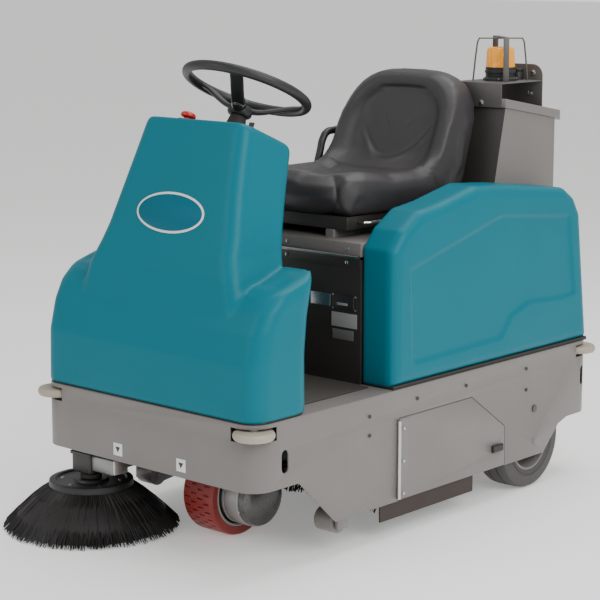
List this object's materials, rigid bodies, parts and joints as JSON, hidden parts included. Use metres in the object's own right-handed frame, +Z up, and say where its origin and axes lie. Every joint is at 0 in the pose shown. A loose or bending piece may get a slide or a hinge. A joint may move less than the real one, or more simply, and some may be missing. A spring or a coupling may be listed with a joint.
{
  "type": "ride-on floor sweeper",
  "caption": "Battery ride-on floor sweeper with a side brush, steered drive wheel, corner rollers, bucket seat, steering wheel, rear filter housing and beacon.",
  "frame": {"origin": "floor level under the centre of the overall plan box", "axes": "+X to the driver's left, +Y to the rear, +Z up; the machine faces -Y"},
  "size_m": [0.9776, 1.6914, 1.334],
  "materials": {
    "grey_paint": "satin powder coat",
    "dark_paint": "satin",
    "teal_shell": "semi-gloss moulded",
    "black_vinyl": "soft grained vinyl",
    "black_plastic": "fine texture",
    "black_rubber": "matte",
    "grey_tyre": "solid non-marking rubber",
    "red_tyre": "grooved polyurethane",
    "pale_plastic": "matte",
    "bright_steel": "zinc plated",
    "amber_lens": "translucent ribbed lens",
    "red_plastic": "gloss",
    "bristle": "dense filament"
  },
  "bodies": {
    "chassis": {"chassis_frame": "grey_paint", "floor_mat": "black_rubber", "front_shroud": "teal_shell", "steering_column": "black_rubber", "steering_gearbox": "dark_paint", "dash_panel": "black_plastic", "battery_box": "dark_paint", "battery_left": "black_plastic", "battery_right": "black_plastic", "side_cover_left": "teal_shell", "side_cover_right": "teal_shell", "filter_housing": "grey_paint", "housing_lid": "grey_paint", "filter_cartridge": "pale_plastic", "vacuum_fan": "dark_paint", "accessory_bracket": "grey_paint", "beacon_base": "black_plastic", "beacon_lens": "amber_lens", "beacon_guard_wire": "bright_steel", "beacon_guard_strap": "bright_steel", "reversing_alarm": "black_plastic", "side_skirt_left": "black_rubber", "side_skirt_right": "black_rubber"},
    "fork": {"drive_fork": "dark_paint", "drive_motor": "black_plastic"},
    "handwheel": {"steering_wheel": "black_plastic", "steering_shaft": "bright_steel"},
    "drive_wheel": {"drive_tyre": "red_tyre", "drive_rim": "bright_steel"},
    "rear_wheel_left": {"rear_tyre_left": "grey_tyre", "rear_hub_left": "grey_paint"},
    "rear_wheel_right": {"rear_tyre_right": "grey_tyre", "rear_hub_right": "grey_paint"},
    "roller_front_left": {"bumper_roller_front_left": "pale_plastic"},
    "roller_front_right": {"bumper_roller_front_right": "pale_plastic"},
    "roller_rear_left": {"bumper_roller_rear_left": "pale_plastic"},
    "roller_rear_right": {"bumper_roller_rear_right": "pale_plastic"},
    "side_brush_lifter": {"side_brush_arm": "grey_paint", "side_brush_motor": "dark_paint"},
    "side_brush_disc": {"side_brush_plate": "black_plastic", "side_brush_bristles": "bristle"},
    "main_brush_arms": {"brush_arm_left": "grey_paint", "brush_arm_right": "grey_paint"},
    "main_brush_drum": {"main_brush": "bristle", "main_brush_core": "grey_paint"},
    "door_left": {"side_door_left": "grey_paint"},
    "door_right": {"side_door_right": "grey_paint"},
    "latch_left": {"door_latch_left": "black_plastic"},
    "latch_right": {"door_latch_right": "black_plastic"},
    "lid": {"seat_lid": "grey_paint"},
    "seat": {"seat_pan": "dark_paint", "seat_cushion": "black_vinyl", "seat_backrest": "black_vinyl", "hip_bar": "black_plastic"},
    "lever": {"seat_lever": "bright_steel"},
    "accelerator": {"accelerator_pedal": "dark_paint"},
    "brake": {"brake_pedal": "dark_paint"},
    "button": {"stop_button": "red_plastic"},
    "key": {"key_switch": "bright_steel"},
    "tray": {"hopper": "grey_paint"}
  },
  "joints": [
    {"name": "fork_steer", "type": "hinge", "parent": "chassis", "child": "fork", "pos_m": [0.07525, -0.39175, 0.3], "axis": [0, 0, 1], "range_deg": [-70, 70]},
    {"name": "steering_turn", "type": "hinge", "parent": "chassis", "child": "handwheel", "pos_m": [0.05875, -0.28775, 1.214], "axis": [0, 0.4194, 0.9078], "range_deg": [-280, 280]},
    {"name": "drive_wheel_spin", "type": "hinge", "parent": "fork", "child": "drive_wheel", "pos_m": [0.07525, -0.39175, 0.119], "axis": [1, 0, 0], "continuous": true},
    {"name": "rear_wheel_left_spin", "type": "hinge", "parent": "chassis", "child": "rear_wheel_left", "pos_m": [0.39775, 0.52625, 0.145], "axis": [1, 0, 0], "continuous": true},
    {"name": "rear_wheel_right_spin", "type": "hinge", "parent": "chassis", "child": "rear_wheel_right", "pos_m": [-0.28025, 0.52625, 0.145], "axis": [1, 0, 0], "continuous": true},
    {"name": "roller_front_left_spin", "type": "hinge", "parent": "chassis", "child": "roller_front_left", "pos_m": [0.43225, -0.66075, 0.3845], "axis": [0, 0, 1], "continuous": true},
    {"name": "roller_front_right_spin", "type": "hinge", "parent": "chassis", "child": "roller_front_right", "pos_m": [-0.31475, -0.66075, 0.3845], "axis": [0, 0, 1], "continuous": true},
    {"name": "roller_rear_left_spin", "type": "hinge", "parent": "chassis", "child": "roller_rear_left", "pos_m": [0.43225, 0.78925, 0.3845], "axis": [0, 0, 1], "continuous": true},
    {"name": "roller_rear_right_spin", "type": "hinge", "parent": "chassis", "child": "roller_rear_right", "pos_m": [-0.31475, 0.78925, 0.3845], "axis": [0, 0, 1], "continuous": true},
    {"name": "side_brush_lift", "type": "hinge", "parent": "chassis", "child": "side_brush_lifter", "pos_m": [-0.22675, -0.35575, 0.2135], "axis": [-1, 0, 0], "range_deg": [0, 12]},
    {"name": "side_brush_spin", "type": "hinge", "parent": "side_brush_lifter", "child": "side_brush_disc", "pos_m": [-0.24675, -0.60375, 0.12], "axis": [0, 0, 1], "continuous": true},
    {"name": "main_brush_lift", "type": "hinge", "parent": "chassis", "child": "main_brush_arms", "pos_m": [0.05875, -0.33575, 0.087], "axis": [1, 0, 0], "range_deg": [0, 8]},
    {"name": "main_brush_spin", "type": "hinge", "parent": "main_brush_arms", "child": "main_brush_drum", "pos_m": [0.05875, 0.02425, 0.131], "axis": [1, 0, 0], "continuous": true},
    {"name": "door_left_swing", "type": "hinge", "parent": "chassis", "child": "door_left", "pos_m": [0.46725, -0.12275, 0.219], "axis": [0, 0, -1], "range_deg": [0, 100]},
    {"name": "door_right_swing", "type": "hinge", "parent": "chassis", "child": "door_right", "pos_m": [-0.34975, -0.12275, 0.219], "axis": [0, 0, 1], "range_deg": [0, 100]},
    {"name": "latch_left_turn", "type": "hinge", "parent": "door_left", "child": "latch_left", "pos_m": [0.46225, 0.32625, 0.1615], "axis": [1, 0, 0], "range_deg": [0, 90]},
    {"name": "latch_right_turn", "type": "hinge", "parent": "door_right", "child": "latch_right", "pos_m": [-0.34475, 0.32625, 0.1615], "axis": [-1, 0, 0], "range_deg": [0, 90]},
    {"name": "seat_lid_tilt", "type": "hinge", "parent": "chassis", "child": "lid", "pos_m": [0.05875, -0.15075, 0.765], "axis": [1, 0, 0], "range_deg": [0, 45]},
    {"name": "seat_slide", "type": "slide", "parent": "lid", "child": "seat", "axis": [0, 1, 0], "range_m": [-0.06, 0.02]},
    {"name": "seat_lever_pull", "type": "hinge", "parent": "seat", "child": "lever", "pos_m": [0.26325, -0.05575, 0.846], "axis": [0, 0, -1], "range_deg": [0, 8], "stiffness_Nm_per_rad": 4},
    {"name": "accelerator_press", "type": "hinge", "parent": "chassis", "child": "accelerator", "pos_m": [-0.06125, -0.45075, 0.452], "axis": [-1, 0, 0], "range_deg": [0, 18], "stiffness_Nm_per_rad": 60},
    {"name": "brake_press", "type": "hinge", "parent": "chassis", "child": "brake", "pos_m": [0.17875, -0.45075, 0.452], "axis": [-1, 0, 0], "range_deg": [0, 18], "stiffness_Nm_per_rad": 60},
    {"name": "stop_button_press", "type": "slide", "parent": "chassis", "child": "button", "axis": [0, -0.3827, -0.9239], "range_m": [0, 0.004], "stiffness_N_per_m": 600},
    {"name": "key_turn", "type": "hinge", "parent": "chassis", "child": "key", "pos_m": [0.15875, -0.38575, 1.1228], "axis": [0, 0.3827, 0.9239], "range_deg": [0, 70]},
    {"name": "hopper_draw", "type": "slide", "parent": "chassis", "child": "tray", "axis": [0, 1, 0], "range_m": [0, 0.45]}
  ],
  "couplings": [
    {"joint": "steering_turn", "follows": "fork_steer", "ratio": 4}
  ]
}
